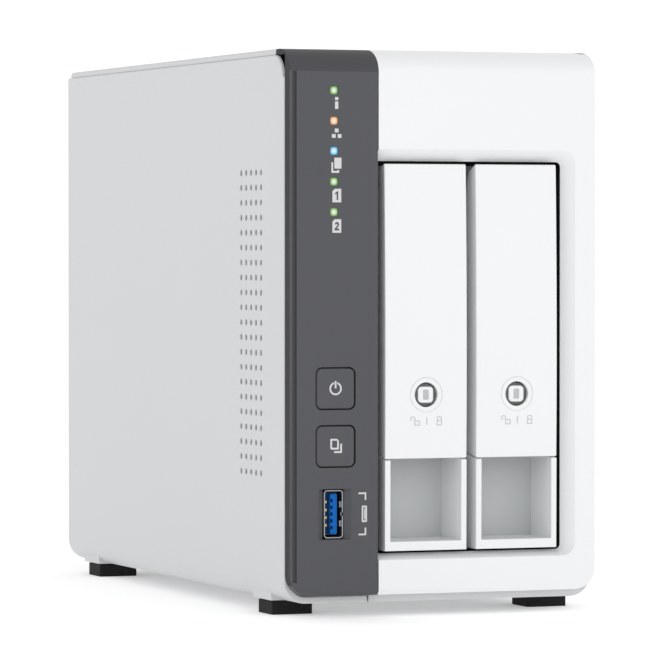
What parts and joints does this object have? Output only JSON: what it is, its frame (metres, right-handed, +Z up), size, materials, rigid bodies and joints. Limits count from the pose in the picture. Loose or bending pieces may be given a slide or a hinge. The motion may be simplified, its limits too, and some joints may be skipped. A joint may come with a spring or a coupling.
{
  "type": "network attached storage",
  "caption": "Desktop network attached storage with two drive trays side by side, a dark control strip with lamps, buttons and a USB port, and a rear fan.",
  "frame": {"origin": "on the ground, under the middle of the box that holds the object", "axes": "+X to the right as seen from the front, +Y to the back along the depth, +Z up"},
  "size_m": [0.1014, 0.2198, 0.1728],
  "materials": {
    "white_plastic": "fine-textured moulded white plastic",
    "pale_grey_plastic": "fine-textured moulded pale grey plastic",
    "dark_plastic": "fine-textured moulded dark grey plastic",
    "black_plastic": "moulded black plastic",
    "rubber": "matt black rubber",
    "zinc_steel": "zinc-plated sheet steel",
    "bright_steel": "bright nickel-plated steel",
    "cast_aluminium": "cast aluminium, fine blasted",
    "blue_plastic": "blue contact carrier",
    "clear_plastic": "clear light-guide plastic",
    "circuit_board": "green solder mask over glass fibre",
    "chip_black": "black epoxy chip package"
  },
  "bodies": {
    "enclosure": {"backplane_board": "circuit_board", "board_screw_1": "bright_steel", "board_screw_2": "bright_steel", "board_screw_3": "bright_steel", "board_screw_4": "bright_steel", "coin_cell": "bright_steel", "coin_cell_holder": "black_plastic", "copy_switch": "black_plastic", "cover_screw_1": "bright_steel", "cover_screw_2": "bright_steel", "cover_screw_3": "bright_steel", "drive_cage": "zinc_steel", "drive_connector_1": "black_plastic", "drive_connector_2": "black_plastic", "ethernet_jack_1": "zinc_steel", "ethernet_jack_2": "zinc_steel", "fan_frame": "black_plastic", "fan_screw_1": "bright_steel", "fan_screw_2": "bright_steel", "fan_screw_3": "bright_steel", "fan_screw_4": "bright_steel", "foot_front_left": "rubber", "foot_front_right": "rubber", "foot_rear_left": "rubber", "foot_rear_right": "rubber", "front_bezel": "white_plastic", "front_board": "circuit_board", "front_usb_shell": "bright_steel", "front_usb_tongue": "blue_plastic", "heatsink": "cast_aluminium", "indicator_panel": "dark_plastic", "left_cover": "pale_grey_plastic", "light_guide": "clear_plastic", "lower_guide": "black_plastic", "main_housing": "pale_grey_plastic", "mainboard": "circuit_board", "power_inlet": "black_plastic", "power_switch": "black_plastic", "processor": "chip_black", "rear_panel": "zinc_steel", "rear_usb_shell_1": "bright_steel", "rear_usb_shell_2": "bright_steel", "rear_usb_tongue_1": "blue_plastic", "rear_usb_tongue_2": "blue_plastic", "reset_switch": "black_plastic", "upper_guide": "black_plastic"},
    "tray_1": {"tray_1_body": "white_plastic", "tray_1_lever_pin": "bright_steel", "drive_1": "cast_aluminium"},
    "tray_2": {"tray_2_body": "white_plastic", "tray_2_lever_pin": "bright_steel", "drive_2": "cast_aluminium"},
    "lever_1": {"tray_1_lever": "white_plastic"},
    "lever_2": {"tray_2_lever": "white_plastic"},
    "lock_1": {"tray_1_lock": "dark_plastic"},
    "lock_2": {"tray_2_lock": "dark_plastic"},
    "power_key": {"power_button": "dark_plastic"},
    "copy_key": {"copy_button": "dark_plastic"},
    "reset_key": {"reset_button": "dark_plastic"},
    "rotor": {"fan_rotor": "black_plastic"}
  },
  "joints": [
    {"name": "tray_1_slide", "type": "slide", "parent": "enclosure", "child": "tray_1", "axis": [0, -1, 0], "range_m": [0, 0.15]},
    {"name": "tray_1_lever_hinge", "type": "hinge", "parent": "tray_1", "child": "lever_1", "pos_m": [-0.0058, -0.1055, 0.1276], "axis": [-1, 0, 0], "range_deg": [0, 40]},
    {"name": "tray_1_lock_turn", "type": "hinge", "parent": "lever_1", "child": "lock_1", "pos_m": [-0.0058, -0.1094, 0.0675], "axis": [0, 1, 0], "range_deg": [0, 90]},
    {"name": "tray_2_slide", "type": "slide", "parent": "enclosure", "child": "tray_2", "axis": [0, -1, 0], "range_m": [0, 0.15]},
    {"name": "tray_2_lever_hinge", "type": "hinge", "parent": "tray_2", "child": "lever_2", "pos_m": [0.0242, -0.1055, 0.1276], "axis": [-1, 0, 0], "range_deg": [0, 40]},
    {"name": "tray_2_lock_turn", "type": "hinge", "parent": "lever_2", "child": "lock_2", "pos_m": [0.0242, -0.1094, 0.0675], "axis": [0, 1, 0], "range_deg": [0, 90]},
    {"name": "power_button_press", "type": "slide", "parent": "enclosure", "child": "power_key", "axis": [0, 1, 0], "range_m": [0, 0.001], "stiffness_N_per_m": 400},
    {"name": "copy_button_press", "type": "slide", "parent": "enclosure", "child": "copy_key", "axis": [0, 1, 0], "range_m": [0, 0.001], "stiffness_N_per_m": 400},
    {"name": "reset_button_press", "type": "slide", "parent": "enclosure", "child": "reset_key", "axis": [0, -1, 0], "range_m": [0, 0.0005], "stiffness_N_per_m": 300},
    {"name": "fan_spin", "type": "hinge", "parent": "enclosure", "child": "rotor", "pos_m": [0.0128, 0.0921, 0.0956], "axis": [0, 1, 0], "continuous": true}
  ]
}
